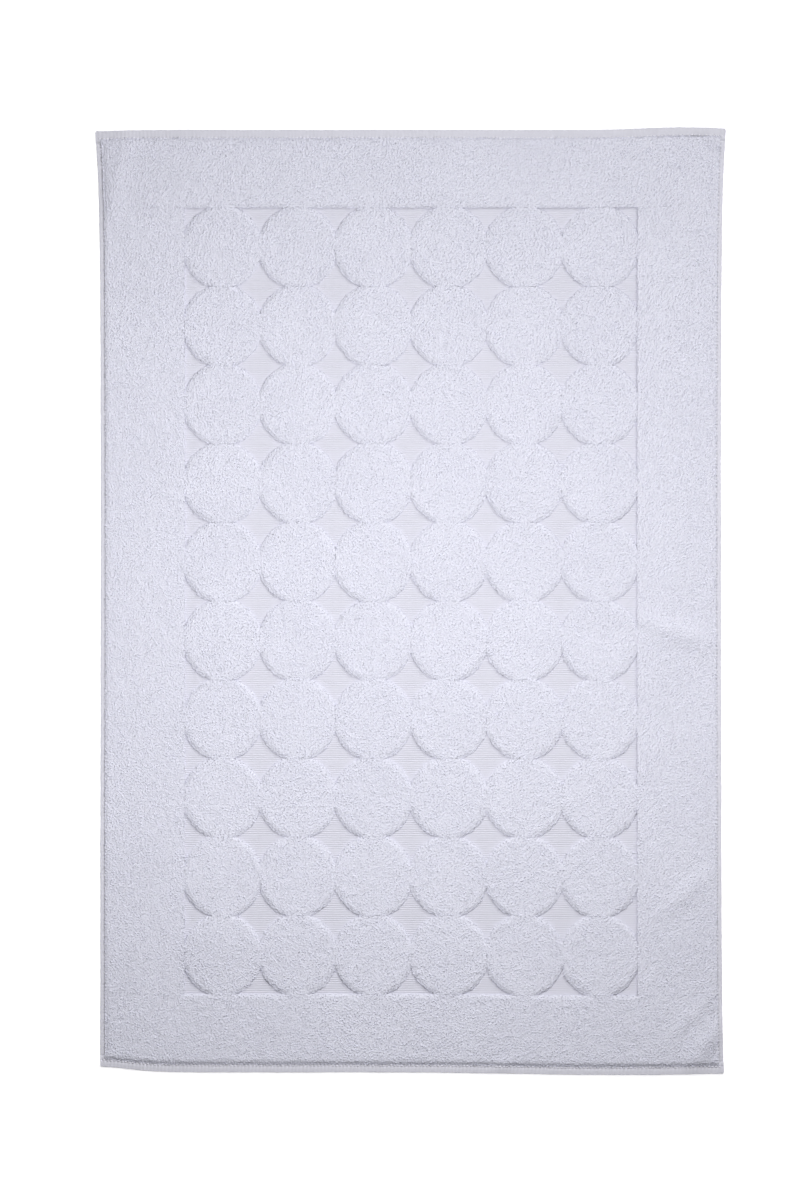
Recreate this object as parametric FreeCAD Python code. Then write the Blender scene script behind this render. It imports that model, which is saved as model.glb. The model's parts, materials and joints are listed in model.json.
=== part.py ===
import FreeCAD, Part
import os

# A woven terry bath mat, laid flat. Origin: middle of the underside. +X across, +Y along, +Z up. Millimetres.
# One ground cloth carries loops on both faces. The face loops form a plain border round a panel of
# touching round islands, and between the islands the bare ribbed cloth is left as four-pointed stars.
# The four edges are turned under twice and held by a lockstitch of a needle thread and a bobbin thread.

# ---- driving sizes ----
mat_width = 600.0
mat_length = 910.0
corner_radius = 2.0

island_columns = 6
island_rows = 10
border_side = 81.5          # mat's edge to the panel of islands, left and right
border_end = 75.5           # the same, top and bottom
island_overlap = 1.03       # island diameter over its pitch, so that neighbours run together

cloth_thickness = 1.2       # bare ground cloth
face_pile_height = 3.8      # loops above the cloth
face_pile_round = 1.4       # rounded shoulder of the loops at every edge of the pile
back_pile_round = 0.6

hem_layers = 3              # the face layer and the two turned under
side_hem_width = 8.0
end_hem_width = 12.0
side_stitch_inset = 4.6     # mat's edge to the line of stitches
end_stitch_inset = 7.6

stitch_length = 3.5
thread_width = 0.7
thread_rise = 0.55          # crest of a stitch above its dip
thread_root = 0.15          # thread left at the dip
groove_clearance = 0.35     # each side of a thread in its groove
needle_proud = 0.2          # a needle stitch's crest stands above the hem's face
bobbin_sunk = 0.15          # a bobbin stitch's crest stays above the floor
pile_clearance = 0.25       # groove's edge to the first loops

# ---- sizes that follow ----
hem_thickness = hem_layers * cloth_thickness
back_pile_height = hem_thickness - cloth_thickness
cloth_bottom = back_pile_height
cloth_top = hem_thickness
pile_top = cloth_top + face_pile_height
half_width = mat_width / 2
half_length = mat_length / 2
panel_half_width = half_width - border_side
panel_half_length = half_length - border_end
pitch_x = 2 * panel_half_width / island_columns
pitch_y = 2 * panel_half_length / island_rows
groove_half = thread_width / 2 + groove_clearance
upper_groove = thread_root + thread_rise - needle_proud
lower_groove = thread_root + thread_rise + bobbin_sunk
pile_half_width = half_width - side_stitch_inset - groove_half - pile_clearance
pile_half_length = half_length - end_stitch_inset - groove_half - pile_clearance
shoulder = min(face_pile_round, 0.45 * face_pile_height)
outline_radius = max(corner_radius, 0.1)


def point(x, y, z=0.0):
    return FreeCAD.Vector(x, y, z)


def slab(x0, x1, y0, y1, z0, z1):
    return Part.makeBox(x1 - x0, y1 - y0, z1 - z0, point(x0, y0, z0))


def edges_at(solid, height):
    """Every edge that lies wholly at one height."""
    found = []
    for edge in solid.Edges:
        box = edge.BoundBox
        if abs(box.ZMin - height) < 1e-6 and abs(box.ZMax - height) < 1e-6:
            found.append(edge)
    return found


def edges_on_side(solid, height, axis, place):
    """The edges at one height that also lie at one x (axis 0) or one y (axis 1)."""
    found = []
    for edge in edges_at(solid, height):
        box = edge.BoundBox
        low, high = (box.XMin, box.XMax) if axis == 0 else (box.YMin, box.YMax)
        if abs(low - place) < 1e-6 and abs(high - place) < 1e-6:
            found.append(edge)
    return found


def mat_outline(z0, z1):
    block = slab(-half_width, half_width, -half_length, half_length, z0, z1)
    upright = [e for e in block.Edges if abs(e.BoundBox.ZLength - (z1 - z0)) < 1e-6]
    return block.makeFillet(outline_radius, upright)


# ---- ground cloth ----
def ground_cloth():
    return slab(
        -half_width + side_hem_width,
        half_width - side_hem_width,
        -half_length + end_hem_width,
        half_length - end_hem_width,
        cloth_bottom,
        cloth_top,
    )


# ---- pile ----
def back_pile():
    block = slab(
        -half_width + side_hem_width,
        half_width - side_hem_width,
        -half_length + end_hem_width,
        half_length - end_hem_width,
        0.0,
        back_pile_height,
    )
    return block.makeFillet(min(back_pile_round, 0.4 * back_pile_height), edges_at(block, 0.0))


def border_side_pile(side):
    """side is -1 for the left strip and +1 for the right one; it runs between the two end strips."""
    inner = side * panel_half_width
    outer = side * pile_half_width
    low, high = min(inner, outer), max(inner, outer)
    block = slab(low, high, -panel_half_length, panel_half_length, cloth_top, pile_top)
    rounded = edges_on_side(block, pile_top, 0, inner) + edges_on_side(block, pile_top, 0, outer)
    return block.makeFillet(shoulder, rounded)


def border_end_pile(end):
    """end is -1 for the bottom strip and +1 for the top one; it runs the whole width of the pile."""
    inner = end * panel_half_length
    outer = end * pile_half_length
    low, high = min(inner, outer), max(inner, outer)
    block = slab(-pile_half_width, pile_half_width, low, high, cloth_top, pile_top)
    upright = [
        e for e in block.Edges
        if abs(e.BoundBox.ZLength - face_pile_height) < 1e-6 and abs(e.BoundBox.YMin - outer) < 1e-6
    ]
    block = block.makeFillet(outline_radius, upright)
    return block.makeFillet(shoulder, edges_at(block, pile_top))


def island(column, row):
    """One round island of loops, a little larger than its cell and cut off flat where the next begins."""
    x = -panel_half_width + (column + 0.5) * pitch_x
    y = -panel_half_length + (row + 0.5) * pitch_y
    radius_x = 0.5 * island_overlap * pitch_x
    radius_y = 0.5 * island_overlap * pitch_y
    centre = point(x, y, cloth_top)
    if radius_y > radius_x:
        ring = Part.Ellipse(point(x, y + radius_y, cloth_top), point(x + radius_x, y, cloth_top), centre)
    else:
        ring = Part.Ellipse(point(x + radius_x, y, cloth_top), point(x, y + radius_y, cloth_top), centre)
    disc = Part.Face(Part.Wire([ring.toShape()])).extrude(point(0, 0, face_pile_height))
    disc = disc.makeFillet(shoulder, edges_at(disc, pile_top))
    cell = slab(
        x - pitch_x / 2,
        x + pitch_x / 2,
        y - pitch_y / 2,
        y + pitch_y / 2,
        cloth_top - 1,
        pile_top + 1,
    )
    return disc.common(cell).Solids[0]


# ---- hems ----
def hem_section(width, stitch_inset):
    """Cut through a hem as (u, z): u is 0 at the mat's edge and grows inwards. The edge is a round fold,
    and a groove on each face holds that face's thread."""
    fold = hem_thickness / 2
    near = stitch_inset - groove_half
    far = stitch_inset + groove_half
    return fold, [
        (fold, 0.0),
        (near, 0.0),
        (near, lower_groove),
        (far, lower_groove),
        (far, 0.0),
        (width, 0.0),
        (width, hem_thickness),
        (far, hem_thickness),
        (far, hem_thickness - upper_groove),
        (near, hem_thickness - upper_groove),
        (near, hem_thickness),
        (fold, hem_thickness),
    ]


def hem(width, stitch_inset, to_mat, run):
    """to_mat turns (u, z) into a point of the mat, and run is the vector from the hem's start to its end."""
    fold, corners = hem_section(width, stitch_inset)
    places = [to_mat(u, z) for u, z in corners]
    sides = [Part.LineSegment(a, b).toShape() for a, b in zip(places, places[1:])]
    sides.append(Part.Arc(places[-1], to_mat(0.0, fold), places[0]).toShape())
    section = Part.Face(Part.Wire(sides))
    return section.extrude(run)


def side_hem(side):
    start = -half_length + end_hem_width
    run = point(0, 2 * (half_length - end_hem_width), 0)
    return hem(side_hem_width, side_stitch_inset, lambda u, z: point(side * (half_width - u), start, z), run)


def end_hem(end):
    run = point(mat_width, 0, 0)
    body = hem(
        end_hem_width,
        end_stitch_inset,
        lambda u, z: point(-half_width, end * (half_length - u), z),
        run,
    )
    return body.common(mat_outline(-1.0, hem_thickness + 1.0)).Solids[0]


# ---- threads of the lockstitch ----
def thread(length, to_mat, across):
    """One continuous thread: a hump for each stitch, down to a thin root where it dives into the cloth.
    to_mat turns (distance along, height) into a point of the mat, and across is the thread's width."""
    stitches = max(2, int(length // stitch_length))
    step = length / stitches
    sides = []
    for number in range(stitches):
        start = number * step
        rise = to_mat(start, thread_root)
        crest = to_mat(start + step / 2, thread_root + thread_rise)
        dip = to_mat(start + step, thread_root)
        sides.append(Part.Arc(rise, crest, dip).toShape())
    corners = [to_mat(length, thread_root), to_mat(length, 0.0), to_mat(0.0, 0.0), to_mat(0.0, thread_root)]
    sides += [Part.LineSegment(a, b).toShape() for a, b in zip(corners, corners[1:])]
    return Part.Face(Part.Wire(sides)).extrude(across)


def floor_of_groove(upper, height):
    """Height in the mat of a place that far out of the groove's floor, on the upper or the lower face."""
    return hem_thickness - upper_groove + height if upper else lower_groove - height


def side_thread(side, upper):
    length = 2 * (half_length - end_hem_width)
    x = side * (half_width - side_stitch_inset) - thread_width / 2
    return thread(
        length,
        lambda along, height: point(x, along - length / 2, floor_of_groove(upper, height)),
        point(thread_width, 0, 0),
    )


def end_thread(end, upper):
    length = mat_width - 2 * outline_radius
    y = end * (half_length - end_stitch_inset) - thread_width / 2
    return thread(
        length,
        lambda along, height: point(along - length / 2, y, floor_of_groove(upper, height)),
        point(0, thread_width, 0),
    )


# ---- every node ----
nodes = {"ground_cloth": [ground_cloth()], "back_pile": [back_pile()]}
for name, sign in (("left", -1), ("right", 1)):
    nodes["border_pile_" + name] = [border_side_pile(sign)]
    nodes["hem_" + name] = [side_hem(sign)]
    nodes["needle_thread_" + name] = [side_thread(sign, True)]
    nodes["bobbin_thread_" + name] = [side_thread(sign, False)]
for name, sign in (("bottom", -1), ("top", 1)):
    nodes["border_pile_" + name] = [border_end_pile(sign)]
    nodes["hem_" + name] = [end_hem(sign)]
    nodes["needle_thread_" + name] = [end_thread(sign, True)]
    nodes["bobbin_thread_" + name] = [end_thread(sign, False)]
for row in range(island_rows):
    # row 01 is the one nearest the top end
    nodes[f"circle_pile_row_{island_rows - row:02d}"] = [island(column, row) for column in range(island_columns)]

os.makedirs("parts", exist_ok=True)
for name, solids in sorted(nodes.items()):
    shape = solids[0] if len(solids) == 1 else Part.makeCompound(solids)
    if not shape.isValid() or any(s.Volume <= 0 for s in shape.Solids):
        raise ValueError(name + " is not a valid solid")
    shape.exportStep(f"parts/{name}.step")
    box = shape.BoundBox
    print(f"{name:24s} {len(shape.Solids)} solids, {box.XLength:7.2f} x {box.YLength:7.2f} x {box.ZLength:5.2f} mm")
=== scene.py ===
import json
import math
import bpy
import numpy as np
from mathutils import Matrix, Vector, kdtree


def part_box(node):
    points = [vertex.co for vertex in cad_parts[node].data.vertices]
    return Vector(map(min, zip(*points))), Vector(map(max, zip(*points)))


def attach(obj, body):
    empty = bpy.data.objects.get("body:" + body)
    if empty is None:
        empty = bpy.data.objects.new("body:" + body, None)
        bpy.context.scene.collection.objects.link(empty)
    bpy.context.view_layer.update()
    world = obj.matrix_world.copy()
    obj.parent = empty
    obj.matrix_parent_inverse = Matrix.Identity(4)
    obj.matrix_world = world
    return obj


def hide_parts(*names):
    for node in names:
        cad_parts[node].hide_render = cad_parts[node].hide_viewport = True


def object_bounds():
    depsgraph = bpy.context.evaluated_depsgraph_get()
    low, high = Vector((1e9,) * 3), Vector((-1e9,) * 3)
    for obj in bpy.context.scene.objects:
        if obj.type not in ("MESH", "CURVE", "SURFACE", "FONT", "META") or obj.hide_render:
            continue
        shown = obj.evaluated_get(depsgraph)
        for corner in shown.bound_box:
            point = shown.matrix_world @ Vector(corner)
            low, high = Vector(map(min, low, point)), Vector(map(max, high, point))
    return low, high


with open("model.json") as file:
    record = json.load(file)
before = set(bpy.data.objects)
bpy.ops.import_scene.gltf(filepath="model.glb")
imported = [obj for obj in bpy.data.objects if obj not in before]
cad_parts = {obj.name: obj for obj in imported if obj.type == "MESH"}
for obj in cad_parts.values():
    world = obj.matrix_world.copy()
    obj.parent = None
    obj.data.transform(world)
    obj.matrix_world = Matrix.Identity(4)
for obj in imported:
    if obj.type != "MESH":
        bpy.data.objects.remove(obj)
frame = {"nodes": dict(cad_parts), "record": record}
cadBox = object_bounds()


# Sizes read from the CAD frame, in metres
def nodeBox(node):
    low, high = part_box(node)
    return np.array(low), np.array(high)


rowNames = sorted(name for name in frame["nodes"] if name.startswith("circle_pile_row_"))
islandColumns = 6
halfWidth, halfLength = cadBox[1].x, cadBox[1].y
clothLow, clothHigh = nodeBox("ground_cloth")
topRowHigh = nodeBox(rowNames[0])[1]
pileHigh = nodeBox("border_pile_top")[1]
panelHalfX, panelHalfY = topRowHigh[0], topRowHigh[1]
pitchX = 2 * panelHalfX / islandColumns
pitchY = 2 * panelHalfY / len(rowNames)
clothTop, pileTop = clothHigh[2], pileHigh[2]
pileHalfX, pileHalfY = pileHigh[0], pileHigh[1]
hemThickness = nodeBox("hem_left")[1][2]
print("frame read:", len(frame["nodes"]), "nodes,", len(rowNames), "rows of islands")


# How the mat lies on the floor: its outline has eased out of square and soft rolls lift it a little
matLie = {
    "topLeftFlare": 0.0052,
    "topRightFlare": 0.0043,
    "bottomRightFlare": 0.0022,
    "flareReach": 0.055,
    "waistPull": 0.0006,
    "waistPlace": 0.15,           # as a share of half the length, from the middle
    "waistReach": 0.6,
    "topEndBends": [              # place as a share of half the width, reach, how far the end moves
        (-1.0, 0.03, -0.0012),
        (0.87, 0.05, 0.0026),
    ],
    "bottomEndBends": [           # the left corner's hem is drawn inwards
        (-1.0, 0.038, 0.0053),
        (0.66, 0.12, -0.0026),
    ],
    "endReach": 0.10,
    "swell": 0.0013,              # slow unevenness of the whole mat
    "swellWaves": [(17.0, 5.0, 0.4), (-7.0, 13.0, 2.1), (9.0, 23.0, 4.0)],     # along x, along y, phase
    "waver": 0.00030,             # how far the weave strays from straight lines, with its three waves
    "waverSum": 1.6,              # adding up to this much
    "waverAcross": [(310, 870, 1.0), (-640, 1530, 3.0), (0, 390, 2.0)],
    "waverAlong": [(910, -270, 5.0), (1470, 720, 0.0), (430, 0, 4.0)],
    "hemReach": 0.02,             # the hems hold the outside straighter
    "rolls": [                    # x, y, heading in degrees, half length, half width, height
        (0.262, -0.032, -15, 0.040, 0.0100, 0.0026),
        (0.214, -0.010, -36, 0.022, 0.012, 0.0009),
        (-0.282, 0.410, 78, 0.045, 0.0095, 0.0020),
        (0.285, -0.424, 52, 0.032, 0.009, 0.0030),
        (0.270, -0.400, 48, 0.030, 0.007, 0.0014),
        (0.264, -0.283, 42, 0.028, 0.009, 0.0022),
        (0.090, -0.446, 35, 0.016, 0.006, 0.0014),
        (0.292, 0.444, -48, 0.018, 0.007, 0.0026),
        (-0.180, -0.330, 8, 0.090, 0.022, 0.0010),
        (0.060, 0.395, -4, 0.140, 0.024, 0.0010),
    ],
}


def bell(distance, reach):
    return np.exp(-(distance / reach) ** 2)


def wavesAt(x, y, waves):
    return sum(np.sin(x * alongX + y * alongY + phase) for alongX, alongY, phase in waves)


def liftAt(x, y):
    lift = matLie["swell"] * (0.5 + 0.17 * wavesAt(x, y, matLie["swellWaves"]))
    for centreX, centreY, heading, halfLong, halfWide, height in matLie["rolls"]:
        turn = math.radians(heading)
        along = (x - centreX) * math.cos(turn) + (y - centreY) * math.sin(turn)
        across = (y - centreY) * math.cos(turn) - (x - centreX) * math.sin(turn)
        lift = lift + height * bell(across, halfWide) * bell(along, halfLong)
    return lift


def layDown(points):
    # moves points of the square, flat mat to where they lie
    x, y, z = np.array(points, float).T
    u, v = x / halfWidth, y / halfLength
    top = np.exp(-(1 - v) * halfLength / matLie["flareReach"])
    bottom = np.exp(-(1 + v) * halfLength / matLie["flareReach"])
    left, right = np.clip(-u, 0, 2) ** 3, np.clip(u, 0, 2) ** 3
    spread = top * (matLie["topRightFlare"] * right - matLie["topLeftFlare"] * left)
    spread += bottom * matLie["bottomRightFlare"] * right
    spread -= matLie["waistPull"] * u ** 3 * bell(v - matLie["waistPlace"], matLie["waistReach"])
    topEnd = np.exp(-(1 - v) * halfLength / matLie["endReach"])
    bottomEnd = np.exp(-(1 + v) * halfLength / matLie["endReach"])
    shift = np.zeros(len(x))
    for end, bends in ((bottomEnd, matLie["bottomEndBends"]), (topEnd, matLie["topEndBends"])):
        for centre, reach, move in bends:
            shift += end * move * bell(x - centre * halfWidth, reach)
    fromSide = np.clip((halfWidth - np.abs(x)) / matLie["hemReach"], 0, 1)
    fromEnd = np.clip((halfLength - np.abs(y)) / matLie["hemReach"], 0, 1)
    waver = matLie["waver"] / matLie["waverSum"] * (0.3 + 0.7 * fromSide * fromEnd)
    strayX = waver * wavesAt(x, y, matLie["waverAcross"])
    strayY = waver * wavesAt(x, y, matLie["waverAlong"])
    return np.column_stack((x + spread + strayX, y + shift + strayY, z + liftAt(x, y)))


# Mesh helpers
def newPiece(name, points, faces, creases=()):
    # creases are the points that both ends of a sharp edge belong to
    mesh = bpy.data.meshes.new(name)
    mesh.from_pydata(np.asarray(points).tolist(), [], faces)
    mesh.polygons.foreach_set("use_smooth", [True] * len(mesh.polygons))
    if len(creases):
        onCrease = np.zeros(len(mesh.vertices), bool)
        onCrease[list(creases)] = True
        ends = np.zeros(2 * len(mesh.edges), int)
        mesh.edges.foreach_get("vertices", ends)
        mesh.edges.foreach_set("use_edge_sharp", onCrease[ends.reshape(-1, 2)].all(1))
    mesh.update()
    piece = bpy.data.objects.new(name, mesh)
    bpy.context.scene.collection.objects.link(piece)
    return piece


def gridFaces(columns, rows, start=0, flip=False):
    # quads of a grid whose points run along each row first
    faces = []
    for row in range(rows - 1):
        for column in range(columns - 1):
            a = start + row * columns + column
            face = (a, a + 1, a + 1 + columns, a + columns)
            faces.append(face[::-1] if flip else face)
    return faces


def gridRim(columns, rows, start=0):
    # the points round a grid, anticlockwise
    bottom = [start + c for c in range(columns)]
    right = [start + r * columns + columns - 1 for r in range(1, rows)]
    top = [start + (rows - 1) * columns + c for c in range(columns - 2, -1, -1)]
    left = [start + r * columns for r in range(rows - 2, 0, -1)]
    return bottom + right + top + left


def skirtFaces(rim, lowerRim):
    count = len(rim)
    return [(rim[i], lowerRim[i], lowerRim[(i + 1) % count], rim[(i + 1) % count]) for i in range(count)]


def graded(low, high, step, edgeSteps):
    # places from low to high, close together at both ends and step apart between
    inner = np.array(edgeSteps)
    middle = np.linspace(low + inner[-1], high - inner[-1], max(2, round((high - low) / step)))
    return np.concatenate(([low], low + inner[:-1], middle, high - inner[-2::-1], [high]))


# Node helpers, for both geometry and shader trees
def nodeMaker(tree):
    def make(kind, inputs=None, **settings):
        node = tree.nodes.new(kind)
        for key, value in settings.items():
            setattr(node, key, value)
        for key, value in (inputs or {}).items():
            if isinstance(value, bpy.types.NodeSocket):
                tree.links.new(value, node.inputs[key])
            else:
                node.inputs[key].default_value = value
        return node
    return make


def newTree(name, sockets):
    tree = bpy.data.node_groups.new(name, "GeometryNodeTree")
    tree.interface.new_socket(name="Geometry", in_out="INPUT", socket_type="NodeSocketGeometry")
    tree.interface.new_socket(name="Geometry", in_out="OUTPUT", socket_type="NodeSocketGeometry")
    for label, kind in sockets.items():
        tree.interface.new_socket(name=label, in_out="INPUT", socket_type="NodeSocket" + kind)
    return tree, nodeMaker(tree)


def grow(piece, tree, values):
    # runs a geometry tree on a piece and keeps the result as a plain mesh
    modifier = piece.modifiers.new("grow", "NODES")
    modifier.node_group = tree
    for item in tree.interface.items_tree:
        if item.in_out == "INPUT" and item.name in values:
            modifier[item.identifier] = values[item.name]
    bpy.context.view_layer.update()
    depsgraph = bpy.context.evaluated_depsgraph_get()
    mesh = bpy.data.meshes.new_from_object(piece.evaluated_get(depsgraph), depsgraph=depsgraph)
    piece.modifiers.remove(modifier)
    mesh.name = piece.name
    piece.data = mesh
    return piece


# Materials
cottonLook = {
    "terry": (0.850, 0.853, 0.955),
    # the terry's painted shade, darkest between the loops, which is also the dark end of its random tone
    "terryShade": (0.765, 0.767, 0.872),
    "weave": (0.775, 0.772, 0.868),
    "hem": (0.785, 0.780, 0.862),
    "thread": (0.90, 0.895, 0.96),
    "terryFinish": (0.95, 0.25),      # roughness and sheen
    "weaveFinish": (0.9, 0.15),
    "threadFinish": (0.8, 0.2),
    "sheenRoughness": 0.5,
    "specular": 0.15,
    "weaveShade": 0.93,           # painted shade in the weave's grooves, as a share of the colour
    # painted shade in the groove between the thread's plies, as a share of its colour
    "threadShade": 0.9,
    "terryRelief": 0.0007,        # depth of the grain
    "weaveRelief": 0.0003,
    "threadRelief": 0.0001,
    "loopSize": 0.0016,           # size of one rounded cell of the pile
    "yarnGrain": 800.0,           # noise scale of the single yarns
    "yarnWeight": 0.6,            # how much they add to the cells' height
    "patchGrain": 14.0,           # noise scale of the pile's slow change of tone
    "patchWeight": 0.5,           # how much the random tone adds to the cells' painted shade
    "toneRange": (0.45, 1.1),     # what comes out darkest and lightest
    "ribPitch": 0.0021,
    "warpPitch": 0.0011,
    "warpWeight": 0.5,            # height of the warp lines in that of the ribs
    "hemYarn": 0.0009,
    "threadPly": 0.0007,
}
waveRepeat = 0.314      # a wave texture of scale 1 repeats after this length


def newMaterial(name, finish):
    material = bpy.data.materials.new(name)
    material.use_nodes = True
    tree = material.node_tree
    shader = tree.nodes["Principled BSDF"]
    shader.inputs["Roughness"].default_value = finish[0]
    shader.inputs["Sheen Weight"].default_value = finish[1]
    shader.inputs["Sheen Roughness"].default_value = cottonLook["sheenRoughness"]
    shader.inputs["Specular IOR Level"].default_value = cottonLook["specular"]
    make = nodeMaker(tree)
    place = make("ShaderNodeTexCoord").outputs["Object"]
    return material, tree, shader, make, place


def colourBetween(make, low, high, factor):
    mix = make("ShaderNodeMix", data_type="RGBA")
    mix.inputs["A"].default_value = (*low, 1)
    mix.inputs["B"].default_value = (*high, 1)
    mix.id_data.links.new(factor, mix.inputs["Factor"])
    return mix.outputs["Result"]


def weighted(make, value, weight, base):
    return make("ShaderNodeMath", {0: value, 1: weight, 2: base}, operation="MULTIPLY_ADD")


def terryMaterial(name, light, shade, strength):
    # loops packed close: rounded cells of uneven height, with fine yarn grain on top
    material, tree, shader, make, place = newMaterial(name, cottonLook["terryFinish"])
    cells = make(
        "ShaderNodeTexVoronoi",
        {"Vector": place, "Scale": 1 / cottonLook["loopSize"], "Randomness": 1.0},
        feature="F1",
    )
    yarn = make("ShaderNodeTexNoise", {"Vector": place, "Scale": cottonLook["yarnGrain"], "Detail": 2.0})
    patch = make("ShaderNodeTexNoise", {"Vector": place, "Scale": cottonLook["patchGrain"], "Detail": 3.0})
    crown = make("ShaderNodeMath", {0: 1.0, 1: cells.outputs["Distance"]}, operation="SUBTRACT")
    height = weighted(make, yarn.outputs["Fac"], cottonLook["yarnWeight"], crown.outputs[0])
    # painted shade: each cell is lighter at its crown and darker towards its edge, where the loops meet; the
    # patch adds a random change of tone
    shadeAndTone = weighted(make, patch.outputs["Fac"], cottonLook["patchWeight"], crown.outputs[0])
    darkest, lightest = cottonLook["toneRange"]
    factor = make(
        "ShaderNodeMapRange", {"Value": shadeAndTone.outputs[0], "From Min": darkest, "From Max": lightest}
    )
    tree.links.new(colourBetween(make, shade, light, factor.outputs["Result"]), shader.inputs["Base Color"])
    relief = cottonLook["terryRelief"]
    bump = make("ShaderNodeBump", {"Height": height.outputs[0], "Strength": strength, "Distance": relief})
    tree.links.new(bump.outputs["Normal"], shader.inputs["Normal"])
    return material


def ribMaterial(name, colour, pitchAlong, pitchAcross, strength):
    # flat weave: ribs along x with finer warp lines crossing them
    material, tree, shader, make, place = newMaterial(name, cottonLook["weaveFinish"])
    ribs = make(
        "ShaderNodeTexWave",
        {"Vector": place, "Scale": waveRepeat / pitchAlong, "Distortion": 0.6, "Detail Scale": 3.0},
        bands_direction="Y",
    )
    warp = make(
        "ShaderNodeTexWave",
        {"Vector": place, "Scale": waveRepeat / pitchAcross, "Distortion": 0.8, "Detail Scale": 3.0},
        bands_direction="X",
    )
    highest = 1 + cottonLook["warpWeight"]
    height = weighted(make, warp.outputs["Fac"], cottonLook["warpWeight"], ribs.outputs["Fac"])
    factor = make("ShaderNodeMapRange", {"Value": height.outputs[0], "From Min": 0.0, "From Max": highest})
    # painted shade: the grooves between the ribs and warp lines are darker than their crests
    shade = tuple(cottonLook["weaveShade"] * c for c in colour)
    tree.links.new(colourBetween(make, shade, colour, factor.outputs["Result"]), shader.inputs["Base Color"])
    relief = cottonLook["weaveRelief"]
    bump = make("ShaderNodeBump", {"Height": height.outputs[0], "Strength": strength, "Distance": relief})
    tree.links.new(bump.outputs["Normal"], shader.inputs["Normal"])
    return material


def threadMaterial():
    # two plies turned round each other
    material, tree, shader, make, place = newMaterial("sewingThread", cottonLook["threadFinish"])
    twist = make(
        "ShaderNodeTexWave",
        {"Vector": place, "Scale": waveRepeat / cottonLook["threadPly"], "Distortion": 0.3},
        bands_direction="DIAGONAL",
    )
    # painted shade: the thread is darker in the groove between its plies
    shade = tuple(cottonLook["threadShade"] * c for c in cottonLook["thread"])
    tree.links.new(
        colourBetween(make, shade, cottonLook["thread"], twist.outputs["Fac"]), shader.inputs["Base Color"]
    )
    relief = cottonLook["threadRelief"]
    bump = make("ShaderNodeBump", {"Height": twist.outputs["Fac"], "Strength": 0.5, "Distance": relief})
    tree.links.new(bump.outputs["Normal"], shader.inputs["Normal"])
    return material


faceTerry = terryMaterial("faceTerry", cottonLook["terry"], cottonLook["terryShade"], 0.75)
backTerry = terryMaterial("backTerry", cottonLook["terry"], cottonLook["terryShade"], 0.7)
ribPitch, warpPitch, hemYarn = (cottonLook[key] for key in ("ribPitch", "warpPitch", "hemYarn"))
groundWeave = ribMaterial("groundWeave", cottonLook["weave"], ribPitch, warpPitch, 0.5)
hemWeave = ribMaterial("hemWeave", cottonLook["hem"], hemYarn, hemYarn, 0.4)
sewingThread = threadMaterial()
print("materials made")


# The pile: a lumpy body of packed loops with a rounded shoulder at its outline, and single loops on top
pileShape = {
    "islandOverlap": 1.052,       # an island's size over its pitch, so that neighbours run together
    "outlineStep": 0.0006,
    "bodyShare": 0.64,            # the body's height in the pile's, the loops standing above it
    "islandWall": 0.24,           # the body's share of height at an island's rim
    "islandShoulder": 0.0047,     # how far in from the rim it is still rising
    "sideWall": 0.80,             # a pile edge that runs along the mat stands up crisply
    "sideShoulder": 0.0060,
    "endWall": 0.32,              # and one that runs across it is softer
    "endShoulder": 0.0036,
    "sideSeamWall": 0.44,         # the stitches press the outermost loops down
    "sideSeamShoulder": 0.0016,
    "endSeamWall": 0.06,
    "endSeamShoulder": 0.0034,
    "lump": 0.00022,
    "rootDepth": 0.0001,
    "loopSpacing": 0.0022,
    "yarnRadius": 0.00045,
    "loopHeight": 0.00140,
    "loopSpan": 0.0013,
    "lean": 0.60,
    "loopSizes": (0.75, 1.2),     # smallest and largest loop, as shares of the loop above
    "islandGrid": 34,
    "rimCrowding": 1.45,          # how much closer the grid is at an island's rim
    "rimJitter": 0.00035,         # loops at an island's rim that stand out or hold back
    "borderStep": 0.0024,
    "borderEdgeSteps": (0.0005, 0.0012, 0.0022, 0.0036),
    "sideOverhang": 0.0008,       # loops leaning out over the line of stitches
    "endOverhang": 0.0006,
}
pileHeight = pileTop - clothTop
radiusX = 0.5 * pileShape["islandOverlap"] * pitchX
radiusY = 0.5 * pileShape["islandOverlap"] * pitchY
chance = np.random.default_rng(7)


def islandCentres():
    for row in range(len(rowNames)):
        for column in range(islandColumns):
            yield (
                -panelHalfX + (column + 0.5) * pitchX,
                panelHalfY - (row + 0.5) * pitchY,
            )


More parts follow.
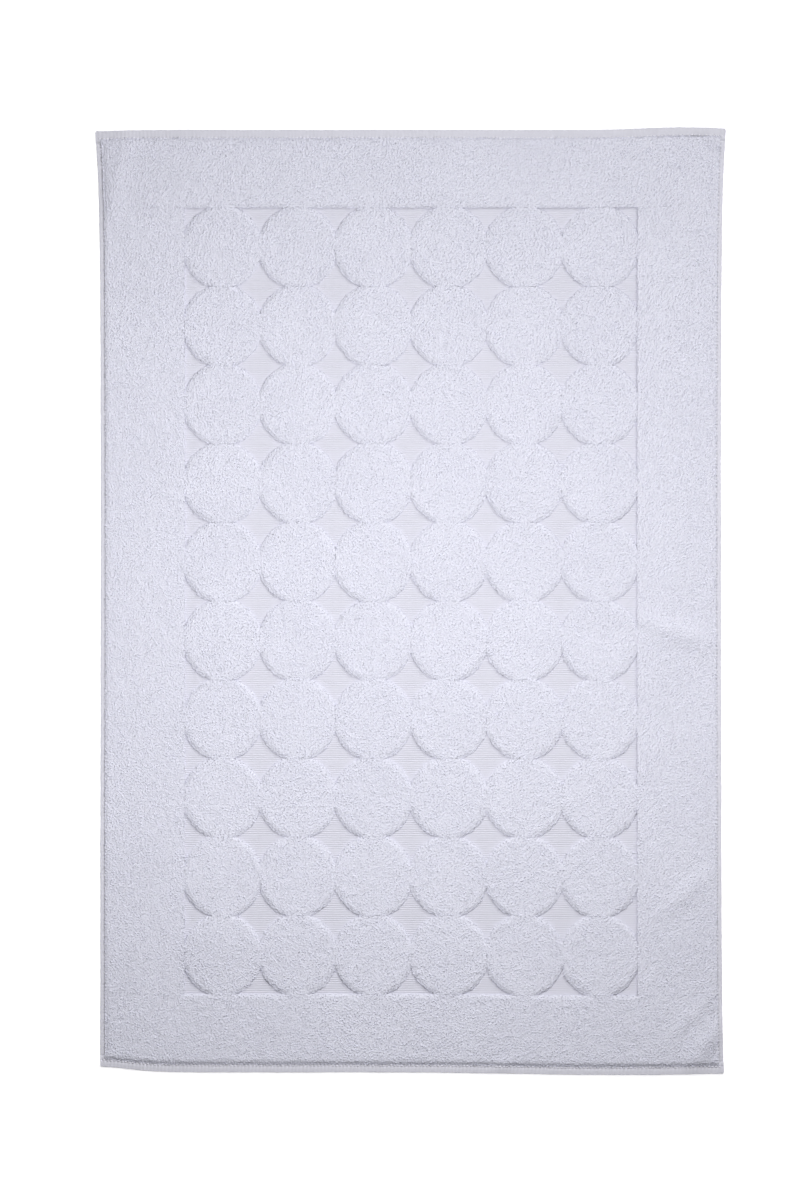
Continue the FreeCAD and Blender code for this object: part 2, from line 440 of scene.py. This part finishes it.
def pileOutline():
    # where the pile ends: round every star, along the panel's straight sides and round the outside
    outlineStep = pileShape["outlineStep"]
    turn = np.linspace(0, 2 * math.pi, round(2 * math.pi * radiusX / outlineStep), endpoint=False)
    arcX, arcY = radiusX * np.cos(turn), radiusY * np.sin(turn)
    bare = (np.abs(arcX) < pitchX / 2) & (np.abs(arcY) < pitchY / 2)
    arcX, arcY = arcX[bare], arcY[bare]
    places = [np.column_stack((arcX + x, arcY + y)) for x, y in islandCentres()]
    joinX = radiusX * math.sqrt(1 - (pitchY / 2 / radiusY) ** 2)   # half of where two islands touch
    joinY = radiusY * math.sqrt(1 - (pitchX / 2 / radiusX) ** 2)
    along = np.arange(-panelHalfX, panelHalfX, outlineStep)
    along = along[np.abs((along + panelHalfX) % pitchX - pitchX / 2) > joinX]
    up = np.arange(-panelHalfY, panelHalfY, outlineStep)
    up = up[np.abs((up + panelHalfY) % pitchY - pitchY / 2) > joinY]
    for side in (-1, 1):
        places.append(np.column_stack((along, np.full(len(along), side * panelHalfY))))
        places.append(np.column_stack((np.full(len(up), side * panelHalfX), up)))
        wide = np.arange(-pileHalfX, pileHalfX, 2 * outlineStep)
        tall = np.arange(-pileHalfY, pileHalfY, 2 * outlineStep)
        places.append(np.column_stack((wide, np.full(len(wide), side * pileHalfY))))
        places.append(np.column_stack((np.full(len(tall), side * pileHalfX), tall)))
    return np.concatenate(places)


outlinePoints = pileOutline()
outlineTree = kdtree.KDTree(len(outlinePoints))
for number, (x, y) in enumerate(outlinePoints):
    outlineTree.insert((x, y, 0), number)
outlineTree.balance()
print("pile outline:", len(outlinePoints), "points")


def shoulderShare(distance, kind):
    inward = np.clip(distance / pileShape[kind + "Shoulder"], 0, 1)
    wall = pileShape[kind + "Wall"]
    return wall + (pileShape["bodyShare"] - wall) * (1 - (1 - inward) ** 2), inward


def bodyHeights(points, kind, rim):
    distance = np.array([outlineTree.find((x, y, 0))[2] for x, y in points])
    share, inward = shoulderShare(distance, kind)
    share = np.minimum(share, shoulderShare(pileHalfX - np.abs(points[:, 0]), "sideSeam")[0])
    share = np.minimum(share, shoulderShare(pileHalfY - np.abs(points[:, 1]), "endSeam")[0])
    lump = pileShape["lump"] * chance.normal(size=len(points)) * (0.4 + 0.6 * inward)
    lump[rim] = 0       # so that neighbours meet level
    return clothTop + pileHeight * share + lump


def islandPatch(centreX, centreY):
    # a square grid drawn into the island's outline, closer together towards the rim
    count = pileShape["islandGrid"]
    side = np.linspace(-1, 1, count)
    a, b = np.meshgrid(side, side)
    reach = np.maximum(np.abs(a), np.abs(b))
    reach = 1 - (1 - reach) ** pileShape["rimCrowding"]
    # even out the angles, so that cells stay square on the way round
    wide = np.abs(a) >= np.abs(b)
    with np.errstate(divide="ignore", invalid="ignore"):
        fromX = np.where(a >= 0, 0, math.pi) + (math.pi / 4) * np.nan_to_num(b / a)
        fromY = np.where(b >= 0, math.pi / 2, -math.pi / 2) - (math.pi / 4) * np.nan_to_num(a / b)
    turn = np.where(wide, fromX, fromY)
    cosine, sine = np.cos(turn), np.sin(turn)
    oval = 1 / np.sqrt((cosine / radiusX) ** 2 + (sine / radiusY) ** 2)
    cut = np.minimum(
        pitchX / 2 / np.maximum(np.abs(cosine), 1e-9), pitchY / 2 / np.maximum(np.abs(sine), 1e-9)
    )
    radius = np.minimum(oval, cut) * reach
    outermost = reach > 0.97      # the last two rings of points
    radius += pileShape["rimJitter"] * chance.uniform(-1, 1, radius.shape) * outermost
    x, y = centreX + radius * cosine, centreY + radius * sine
    return np.column_stack((x.ravel(), y.ravel())), count, count


def borderPatch(low, high):
    step, edgeSteps = pileShape["borderStep"], pileShape["borderEdgeSteps"]
    xs = graded(low[0], high[0], step, edgeSteps)
    ys = graded(low[1], high[1], step, edgeSteps)
    x, y = np.meshgrid(xs, ys)
    return np.column_stack((x.ravel(), y.ravel())), len(xs), len(ys)


def pileBody(name, patches, kind):
    points, faces, creases = [], [], []
    for flat, columns, rows in patches:
        start = sum(len(p) for p in points)
        rim = gridRim(columns, rows, start)
        flatRim = gridRim(columns, rows)
        top = np.column_stack((flat, bodyHeights(flat, kind, flatRim)))
        foot = np.column_stack((flat[flatRim], np.full(len(rim), clothTop - pileShape["rootDepth"])))
        lowerRim = list(range(start + len(top), start + len(top) + len(foot)))
        points += [top, foot]
        faces += gridFaces(columns, rows, start)
        faces += skirtFaces(rim, lowerRim)
        faces.append(tuple(lowerRim[::-1]))
        creases += rim
    return newPiece(name, layDown(np.concatenate(points)), faces, creases)


def buildLoopTree():
    tree, make = newTree(
        "terryLoops",
        {
            "Spacing": "Float", "Yarn Radius": "Float", "Loop Height": "Float", "Loop Span": "Float",
            "Lean": "Float", "Smallest": "Float", "Largest": "Float", "Seed": "Int", "Material": "Material",
        },
    )
    source = make("NodeGroupInput").outputs
    upright = make("ShaderNodeSeparateXYZ", {0: make("GeometryNodeInputNormal").outputs[0]})
    shown = make("FunctionNodeCompare", {"A": upright.outputs["Z"], "B": 0.3}, operation="GREATER_THAN")
    squared = make("ShaderNodeMath", {0: source["Spacing"], 1: source["Spacing"]}, operation="MULTIPLY")
    # more spots than fit, so that only the spacing thins them out
    density = make("ShaderNodeMath", {0: 2.2, 1: squared.outputs[0]}, operation="DIVIDE")
    spots = make(
        "GeometryNodeDistributePointsOnFaces",
        {
            "Mesh": source["Geometry"], "Selection": shown.outputs[0], "Distance Min": source["Spacing"],
            "Density Max": density.outputs[0], "Seed": source["Seed"],
        },
        distribute_method="POISSON",
    )
    # one loop: an arch of yarn with its feet in the body; the middle point pulls it up and lies above it
    halfSpan = make("ShaderNodeMath", {0: source["Loop Span"], 1: 0.5}, operation="MULTIPLY")
    minusSpan = make("ShaderNodeMath", {0: source["Loop Span"], 1: -0.5}, operation="MULTIPLY")
    foot = make("ShaderNodeMath", {0: source["Yarn Radius"], 1: -1.0}, operation="MULTIPLY")
    crest = make("ShaderNodeMath", {0: source["Loop Height"], 1: 1.7}, operation="MULTIPLY")
    arch = make(
        "GeometryNodeCurveQuadraticBezier",
        {
            "Resolution": 2,
            "Start": make("ShaderNodeCombineXYZ", {0: minusSpan.outputs[0], 2: foot.outputs[0]}).outputs[0],
            "Middle": make("ShaderNodeCombineXYZ", {2: crest.outputs[0]}).outputs[0],
            "End": make("ShaderNodeCombineXYZ", {0: halfSpan.outputs[0], 2: foot.outputs[0]}).outputs[0],
        },
    )
    section = make("GeometryNodeCurvePrimitiveCircle", {"Resolution": 3, "Radius": source["Yarn Radius"]})
    loop = make(
        "GeometryNodeCurveToMesh",
        {"Curve": arch.outputs[0], "Profile Curve": section.outputs["Curve"], "Fill Caps": True},
    )
    minusLean = make("ShaderNodeMath", {0: source["Lean"], 1: -1.0}, operation="MULTIPLY")
    least = make("ShaderNodeCombineXYZ", {0: minusLean.outputs[0], 1: minusLean.outputs[0]})
    most = make("ShaderNodeCombineXYZ", {0: source["Lean"], 1: source["Lean"], 2: math.pi})
    tilt = make(
        "FunctionNodeRandomValue",
        {"Min": least.outputs[0], "Max": most.outputs[0], "Seed": source["Seed"]},
        data_type="FLOAT_VECTOR",
    )
    turned = make(
        "FunctionNodeRotateRotation",
        {
            "Rotation": spots.outputs["Rotation"],
            "Rotate By": make("FunctionNodeEulerToRotation", {0: tilt.outputs["Value"]}).outputs[0],
        },
        rotation_space="LOCAL",
    )
    size = make(
        "FunctionNodeRandomValue",
        {2: source["Smallest"], 3: source["Largest"], "Seed": 3},
        data_type="FLOAT",
    )
    planted = make(
        "GeometryNodeInstanceOnPoints",
        {
            "Points": spots.outputs["Points"], "Instance": loop.outputs["Mesh"],
            "Rotation": turned.outputs[0], "Scale": size.outputs[1],
        },
    )
    real = make("GeometryNodeRealizeInstances", {"Geometry": planted.outputs["Instances"]})
    both = make("GeometryNodeJoinGeometry")
    tree.links.new(source["Geometry"], both.inputs[0])
    tree.links.new(real.outputs[0], both.inputs[0])
    smooth = make("GeometryNodeSetShadeSmooth", {"Geometry": both.outputs[0]})
    dressed = make("GeometryNodeSetMaterial", {"Geometry": smooth.outputs[0], "Material": source["Material"]})
    make("NodeGroupOutput", {"Geometry": dressed.outputs[0]})
    return tree


loopTree = buildLoopTree()


def growLoops(piece, seed):
    return grow(
        piece,
        loopTree,
        {
            "Spacing": pileShape["loopSpacing"],
            "Yarn Radius": pileShape["yarnRadius"],
            "Loop Height": pileShape["loopHeight"],
            "Loop Span": pileShape["loopSpan"],
            "Lean": pileShape["lean"],
            "Smallest": pileShape["loopSizes"][0],
            "Largest": pileShape["loopSizes"][1],
            "Seed": seed,
            "Material": faceTerry,
        },
    )


made = {}       # every finished piece by the CAD node that it stands for
centres = list(islandCentres())
for row, rowName in enumerate(rowNames):
    inRow = centres[row * islandColumns:(row + 1) * islandColumns]
    body = pileBody("circlePileRow%02d" % (row + 1), [islandPatch(x, y) for x, y in inRow], "island")
    made[rowName] = growLoops(body, 11 + row)
print("islands grown:", sum(len(made[name].data.polygons) for name in rowNames), "faces")

for number, side in enumerate(("left", "right", "top", "bottom")):
    low, high = nodeBox("border_pile_" + side)
    outer = np.array((pileHalfX, pileHalfY, 0))
    overhang = np.array((pileShape["sideOverhang"], pileShape["endOverhang"], 0))
    low = np.where(low == -outer, low - overhang, low)
    high = np.where(high == outer, high + overhang, high)
    kind = "side" if side in ("left", "right") else "end"
    body = pileBody("borderPile" + side.capitalize(), [borderPatch(low, high)], kind)
    made["border_pile_" + side] = growLoops(body, 31 + number)
    print("border", side, "grown:", len(body.data.polygons), "faces")


# The ground cloth: a closed sheet whose face is ribbed across the panel
groundShape = {
    "ribPitch": 0.0021,
    "ribRise": 0.00014,
    "stepsPerRib": 4,
    "acrossStep": 0.016,
    "endStep": 0.010,             # beyond the panel, where the pile hides the cloth
    "sink": 0.0002,               # keeps the ribs' crests just below the cloth's CAD face
    "underStep": 24,              # lines of the face to one line of the underside
}


def groundCloth():
    ribs = round(2 * panelHalfY / groundShape["ribPitch"])
    panelYs = np.linspace(-panelHalfY, panelHalfY, ribs * groundShape["stepsPerRib"] + 1)
    below = np.arange(clothLow[1], -panelHalfY - groundShape["endStep"] / 2, groundShape["endStep"])
    ys = np.concatenate((below, panelYs, -below[::-1]))
    across = clothHigh[0] - clothLow[0]
    xs = np.linspace(clothLow[0], clothHigh[0], round(across / groundShape["acrossStep"]))
    x, y = np.meshgrid(xs, ys)
    rise = groundShape["ribRise"] * np.cos((y + panelHalfY) / groundShape["ribPitch"] * 2 * math.pi)
    rise = np.where(np.abs(y) < panelHalfY, rise, 0)
    top = np.column_stack((x.ravel(), y.ravel(), clothTop - groundShape["sink"] + rise.ravel()))
    under = np.column_stack((top[:, :2], np.full(len(top), clothLow[2])))
    # the underside needs only the rim of the fine grid and a coarse middle, so it is drawn in strips
    faces = gridFaces(len(xs), len(ys))
    keep = sorted({0, len(ys) - 1, *range(0, len(ys), groundShape["underStep"])})
    columns = len(xs)
    underIndex = {}
    points = [top]
    for step, line in enumerate(keep):
        underIndex[line] = len(top) + step * columns
        points.append(under[line * columns:(line + 1) * columns])
    for a, b in zip(keep, keep[1:]):
        for column in range(columns - 1):
            lowA, lowB = underIndex[a] + column, underIndex[b] + column
            faces.append((lowA, lowB, lowB + 1, lowA + 1))
        for column, flip in ((0, False), (columns - 1, True)):
            side = [underIndex[a] + column] + [line * columns + column for line in range(a, b + 1)]
            side += [underIndex[b] + column]
            faces.append(tuple(side if flip else side[::-1]))
    for line, flip in ((keep[0], False), (keep[-1], True)):
        for column in range(columns - 1):
            a, b = line * columns + column, underIndex[line] + column
            face = (a, b, b + 1, a + 1)
            faces.append(face[::-1] if flip else face)
    return newPiece("groundCloth", layDown(np.concatenate(points)), faces)


made["ground_cloth"] = groundCloth()
print("ground cloth woven:", len(made["ground_cloth"].data.polygons), "faces")


# The looped underside, pressed nearly flat by the floor
backShape = {
    "step": 0.0043,
    "edgeSteps": (0.0004, 0.0012, 0.0026),
    "lump": 0.00035,
    "shoulder": 0.0009,
    "shoulderReach": 0.0012,
}


def backPile():
    low, high = nodeBox("back_pile")
    xs = graded(low[0], high[0], backShape["step"], backShape["edgeSteps"])
    ys = graded(low[1], high[1], backShape["step"], backShape["edgeSteps"])
    x, y = (part.ravel() for part in np.meshgrid(xs, ys))
    inward = np.minimum.reduce((x - low[0], high[0] - x, y - low[1], high[1] - y))
    rounding = backShape["shoulder"] * np.clip(1 - inward / backShape["shoulderReach"], 0, 1) ** 2
    lumps = backShape["lump"] * chance.random(len(x))
    under = np.column_stack((x, y, low[2] + lumps + rounding))
    over = np.column_stack((x, y, np.full(len(x), high[2])))
    rim = gridRim(len(xs), len(ys))
    faces = gridFaces(len(xs), len(ys), 0, True) + gridFaces(len(xs), len(ys), len(x))
    faces += skirtFaces([i + len(x) for i in rim], rim)
    return newPiece("backPile", layDown(np.concatenate((under, over))), faces)


made["back_pile"] = backPile()
print("underside looped:", len(made["back_pile"].data.polygons), "faces")


# Hems: the cloth's edge turned under twice, puckered by its stitches
hemShape = {
    "foldRound": 0.3,             # a pressed fold is narrower than half a circle
    "pucker": 0.00010,
    "groove": 0.00010,            # how deep the line of stitches is pulled in
    "grooveHalf": 0.0008,
    "needleHole": {"left": 0.0010, "right": 0.0010, "top": 0.0004, "bottom": 0.0012},
    "holeReach": 0.00080,
    "lineShift": {"left": 0.0, "right": 0.0, "top": 0.0, "bottom": 0.0008},   # sewn a little nearer the fold
    "stitchRidge": 0.0001,        # the cloth that the stitches push up beside their line
    "flatFrom": 0.0004,           # where the face is flat again after the fold
    "innerBevel": (0.0005, 0.0001),
    "waver": 0.00018,             # unevenness of the folded edge
    "waverWaves": [(1.0, 31), (1.0, 73), (0.6, 190)],     # strength, radians per metre
    "cornerRadius": 0.002,
    "cornerSteps": (0, 0.15, 0.4, 0.7),
    "stepsPerStitch": 6,
}
stitchLength = 0.0035


def stitchCount(side):
    low, high = nodeBox("needle_thread_" + side)
    return round(max(high - low) / stitchLength)


def hemPiece(side):
    node = "hem_" + side
    low, high = nodeBox(node)
    threadLow, threadHigh = nodeBox("needle_thread_" + side)
    axis = 1 if side in ("left", "right") else 0
    outward = 1 if side in ("right", "top") else -1
    across = 1 - axis
    width = high[across] - low[across]
    edge = high[across] if outward > 0 else low[across]
    inset = abs(edge - (threadLow[across] + threadHigh[across]) / 2) - hemShape["lineShift"][side]
    fold = hemThickness / 2
    turn = np.linspace(-math.pi / 2, math.pi / 2, 11)
    half, groove = hemShape["grooveHalf"], hemShape["groove"]
    profile = [(hemShape["foldRound"] * fold * (1 - math.cos(t)), fold + fold * math.sin(t)) for t in turn]
    flatFrom = hemShape["foldRound"] * fold + hemShape["flatFrom"]
    profile += [(flatFrom, hemThickness), (0.5 * (inset - half), hemThickness)]
    # the profile's points that the stitches pull in, and by how much of the full depth
    grooveShares = {len(profile): 0.0, len(profile) + 1: 0.55, len(profile) + 2: 1.0, len(profile) + 3: 0.55}
    profile += [
        (inset - half, hemThickness + hemShape["stitchRidge"]),
        (inset - 0.45 * half, hemThickness),
        (inset, hemThickness),
        (inset + 0.45 * half, hemThickness),
        (inset + half, hemThickness),
        (width, hemThickness),
        (width, 0.5 * hemThickness),
        (width - hemShape["innerBevel"][0], hemShape["innerBevel"][1]),
        (inset + half, 0.0),
        (inset + 0.4 * half, groove),
        (inset - 0.4 * half, groove),
        (inset - half, 0.0),
    ]
    count = len(profile)
    sewnFrom, sewnTo = threadLow[axis], threadHigh[axis]
    pitch = (sewnTo - sewnFrom) / stitchCount(side)
    step = pitch / hemShape["stepsPerStitch"]
    stations = np.arange(sewnFrom, sewnTo + step / 4, step)
    if low[axis] < sewnFrom:
        corner = hemShape["cornerRadius"] * np.array(hemShape["cornerSteps"])
        stations = np.concatenate((low[axis] + corner, stations, high[axis] - corner[::-1]))
    phase = chance.random(4) * 6
    points = []
    for place in stations:
        fromHole = abs((place - sewnFrom + pitch / 2) % pitch - pitch / 2)
        dip = groove + hemShape["needleHole"][side] * math.exp(-(fromHole / hemShape["holeReach"]) ** 2)
        wave = sum(
            strength * math.sin(place * perMetre + start)
            for (strength, perMetre), start in zip(hemShape["waverWaves"], phase)
        )
        waver = hemShape["waver"] * wave / sum(strength for strength, perMetre in hemShape["waverWaves"])
        pull = -math.cos(2 * math.pi * (place - sewnFrom) / pitch)
        fromEnd = min(place - low[axis], high[axis] - place)
        tuck = 0.0
        if axis == 0 and fromEnd < hemShape["cornerRadius"]:
            gap = hemShape["cornerRadius"] - fromEnd
            tuck = hemShape["cornerRadius"] - math.sqrt(max(hemShape["cornerRadius"] ** 2 - gap ** 2, 0))
        for number, (u, z) in enumerate(profile):
            share = max(0.0, 1 - u / width)
            u += share * (tuck + waver)
            if number in grooveShares:
                z -= dip * grooveShares[number]
            elif z > fold:
                z += hemShape["pucker"] * pull
            spot = [0.0, 0.0, z]
            spot[axis] = place
            spot[across] = edge - outward * u
            points.append(spot)
    faces = []
    turned = (axis == 1) == (outward > 0)
    for station in range(len(stations) - 1):
        for number in range(count):
            a, b = station * count + number, station * count + (number + 1) % count
            face = (a, b, b + count, a + count)
            faces.append(face if turned else face[::-1])
    last = (len(stations) - 1) * count
    ends = [tuple(range(count))[::-1], tuple(range(last, last + count))]
    faces += ends if turned else [face[::-1] for face in ends]
    return newPiece("hem" + side.capitalize(), layDown(points), faces)


# The lockstitch: one short hump of thread for each stitch, dipping into the cloth between them
stitchShape = {
    "radius": 0.00055,
    "gap": 0.0015,                # of the needle hole, between one stitch and the next
    "rise": 0.0004,               # how far a stitch arches
    "slant": 0.12,                # turn of a stitch from its line, in radians
    "needleProud": 0.0005,        # the upper line lies above the hem's face
    "bobbinHeight": 0.0009,       # and the lower one above the floor
}


def buildStitchTree():
    tree, make = newTree(
        "lockStitches",
        {
            "Stitch Length": "Float", "Thread Radius": "Float", "Gap": "Float", "Rise": "Float",
            "Slant": "Float", "Material": "Material",
        },
    )
    source = make("NodeGroupInput").outputs
    path = make("GeometryNodeMeshToCurve", {"Mesh": source["Geometry"]})
    spots = make("GeometryNodeCurveToPoints", {"Curve": path.outputs[0]}, mode="EVALUATED")
    run = make("ShaderNodeMath", {0: source["Stitch Length"], 1: source["Gap"]}, operation="SUBTRACT")
    halfRun = make("ShaderNodeMath", {0: run.outputs[0], 1: 0.5}, operation="MULTIPLY")
    minusRun = make("ShaderNodeMath", {0: run.outputs[0], 1: -0.5}, operation="MULTIPLY")
    # a stitch's ends lie nine tenths of the rise below its line and its crest one tenth above; the middle
    # point is the arch's control point, so it lies higher than the crest
    dip = make("ShaderNodeMath", {0: source["Rise"], 1: -0.9}, operation="MULTIPLY")
    crest = make("ShaderNodeMath", {0: source["Rise"], 1: 1.1}, operation="MULTIPLY")
    arch = make(
        "GeometryNodeCurveQuadraticBezier",
        {
            "Resolution": 5,
            "Start": make("ShaderNodeCombineXYZ", {0: minusRun.outputs[0], 2: dip.outputs[0]}).outputs[0],
            "Middle": make("ShaderNodeCombineXYZ", {2: crest.outputs[0]}).outputs[0],
            "End": make("ShaderNodeCombineXYZ", {0: halfRun.outputs[0], 2: dip.outputs[0]}).outputs[0],
        },
    )
    section = make("GeometryNodeCurvePrimitiveCircle", {"Resolution": 6, "Radius": source["Thread Radius"]})
    stitch = make(
        "GeometryNodeCurveToMesh",
        {"Curve": arch.outputs[0], "Profile Curve": section.outputs["Curve"], "Fill Caps": True},
    )
    along = make("FunctionNodeAlignRotationToVector", {"Vector": spots.outputs["Tangent"]}, axis="X")
    slanted = make(
        "FunctionNodeRotateRotation",
        {
            "Rotation": along.outputs[0],
            "Rotate By": make(
                "FunctionNodeEulerToRotation",
                {0: make("ShaderNodeCombineXYZ", {2: source["Slant"]}).outputs[0]},
            ).outputs[0],
        },
        rotation_space="LOCAL",
    )
    sewn = make(
        "GeometryNodeInstanceOnPoints",
        {
            "Points": spots.outputs["Points"], "Instance": stitch.outputs["Mesh"],
            "Rotation": slanted.outputs[0],
        },
    )
    real = make("GeometryNodeRealizeInstances", {"Geometry": sewn.outputs["Instances"]})
    smooth = make("GeometryNodeSetShadeSmooth", {"Geometry": real.outputs[0]})
    dressed = make("GeometryNodeSetMaterial", {"Geometry": smooth.outputs[0], "Material": source["Material"]})
    make("NodeGroupOutput", {"Geometry": dressed.outputs[0]})
    return tree


stitchTree = buildStitchTree()


def seam(kind, side):
    low, high = nodeBox(kind + "_thread_" + side)
    axis = 1 if side in ("left", "right") else 0
    across = 1 - axis
    upper = kind == "needle"
    height = hemThickness + stitchShape["needleProud"] if upper else stitchShape["bobbinHeight"]
    pitch = (high[axis] - low[axis]) / stitchCount(side)
    stations = np.arange(low[axis] + pitch / 2, high[axis], pitch)
    points = np.zeros((len(stations), 3))
    points[:, axis] = stations
    outward = 1 if side in ("right", "top") else -1
    points[:, across] = (low[across] + high[across]) / 2 + outward * hemShape["lineShift"][side]
    points[:, 2] = height
    mesh = bpy.data.meshes.new(kind)
    mesh.from_pydata(layDown(points).tolist(), [(i, i + 1) for i in range(len(points) - 1)], [])
    piece = bpy.data.objects.new(kind + "Thread" + side.capitalize(), mesh)
    bpy.context.scene.collection.objects.link(piece)
    return grow(
        piece,
        stitchTree,
        {
            "Stitch Length": stitchLength,
            "Thread Radius": stitchShape["radius"],
            "Gap": stitchShape["gap"],
            "Rise": stitchShape["rise"] if upper else -stitchShape["rise"],
            "Slant": stitchShape["slant"],
            "Material": sewingThread,
        },
    )


for side in ("left", "right", "top", "bottom"):
    made["hem_" + side] = hemPiece(side)
    for kind in ("needle", "bobbin"):
        made[kind + "_thread_" + side] = seam(kind, side)
print("hems turned and sewn")


# Each piece rides on the one body and stands for its CAD node
materialOfSlot = {
    "face_terry": faceTerry,
    "back_terry": backTerry,
    "ground_weave": groundWeave,
    "hem_weave": hemWeave,
    "sewing_thread": sewingThread,
}
slotOf = {part["node"]: part["material_slot"] for part in frame["record"]["subparts"]}
for node, piece in made.items():
    piece.data.materials.clear()
    piece.data.materials.append(materialOfSlot[slotOf[node]])
    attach(piece, "root")
    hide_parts(node)


# Floor, light and camera
studio = {
    "floorSize": 14.0,
    "frameWidth": 0.7717,         # what the camera takes in across, at the mat's height
    "aspect": 1.5,
    "aimX": -0.0106,
    "aimY": 0.0010,
    "cameraHeight": 5.2,
    "sensorWidth": 36.0,          # millimetres
    "keyPlace": (1.295, 1.994, 2.0),
    "keyAim": (0.0, 0.0, 0.0),
    "keySize": (1.8, 1.8),
    "keyPower": 45.0,
    "overheadPlace": (-0.04, -0.01, 0.85),
    "overheadAim": (-0.04, -0.01, 0.0),
    "overheadSize": (1.0, 0.6),
    "overheadPower": 6.15,
    "ambient": 0.05,
    "floorColour": (0.93, 0.93, 0.93, 1),
    "floorGlow": 0.62,
}


def makeFloor():
    half = studio["floorSize"] / 2
    corners = [(-half, -half, 0), (half, -half, 0), (half, half, 0), (-half, half, 0)]
    floor = newPiece("floor", corners, [(0, 1, 2, 3)])
    material = bpy.data.materials.new("paleFloor")
    material.use_nodes = True
    shader = material.node_tree.nodes["Principled BSDF"]
    shader.inputs["Base Color"].default_value = studio["floorColour"]
    shader.inputs["Roughness"].default_value = 0.9
    shader.inputs["Specular IOR Level"].default_value = 0.1
    shader.inputs["Emission Color"].default_value = (1, 1, 1, 1)
    shader.inputs["Emission Strength"].default_value = studio["floorGlow"]
    floor.data.materials.append(material)


def softLight(name):
    data = bpy.data.lights.new(name, "AREA")
    data.shape = "ELLIPSE"
    data.size, data.size_y = studio[name + "Size"]
    data.energy = studio[name + "Power"]
    lamp = bpy.data.objects.new(name, data)
    lamp.location = studio[name + "Place"]
    direction = Vector(studio[name + "Aim"]) - Vector(studio[name + "Place"])
    lamp.rotation_mode = "QUATERNION"
    lamp.rotation_quaternion = direction.to_track_quat("-Z", "Y")
    lamp.visible_camera = False
    bpy.context.scene.collection.objects.link(lamp)


def makeCamera():
    data = bpy.data.cameras.new("camera")
    data.type = "PERSP"
    data.sensor_fit = "AUTO"
    data.sensor_width = studio["sensorWidth"]
    longSide = studio["frameWidth"] * studio["aspect"]
    data.lens = studio["sensorWidth"] * (studio["cameraHeight"] - pileTop) / longSide
    data.clip_end = 100.0
    camera = bpy.data.objects.new("camera", data)
    camera.location = (studio["aimX"], studio["aimY"], studio["cameraHeight"])
    bpy.context.scene.collection.objects.link(camera)
    bpy.context.scene.camera = camera


makeFloor()
softLight("key")
softLight("overhead")
world = bpy.data.worlds.new("room")
world.use_nodes = True
world.node_tree.nodes["Background"].inputs["Color"].default_value = (1, 1, 1, 1)
world.node_tree.nodes["Background"].inputs["Strength"].default_value = studio["ambient"]
bpy.context.scene.world = world
bpy.context.scene.view_settings.view_transform = "Standard"
makeCamera()
print("floor, lights and camera placed")

print("triangles:", sum(len(face.vertices) - 2 for piece in made.values() for face in piece.data.polygons))
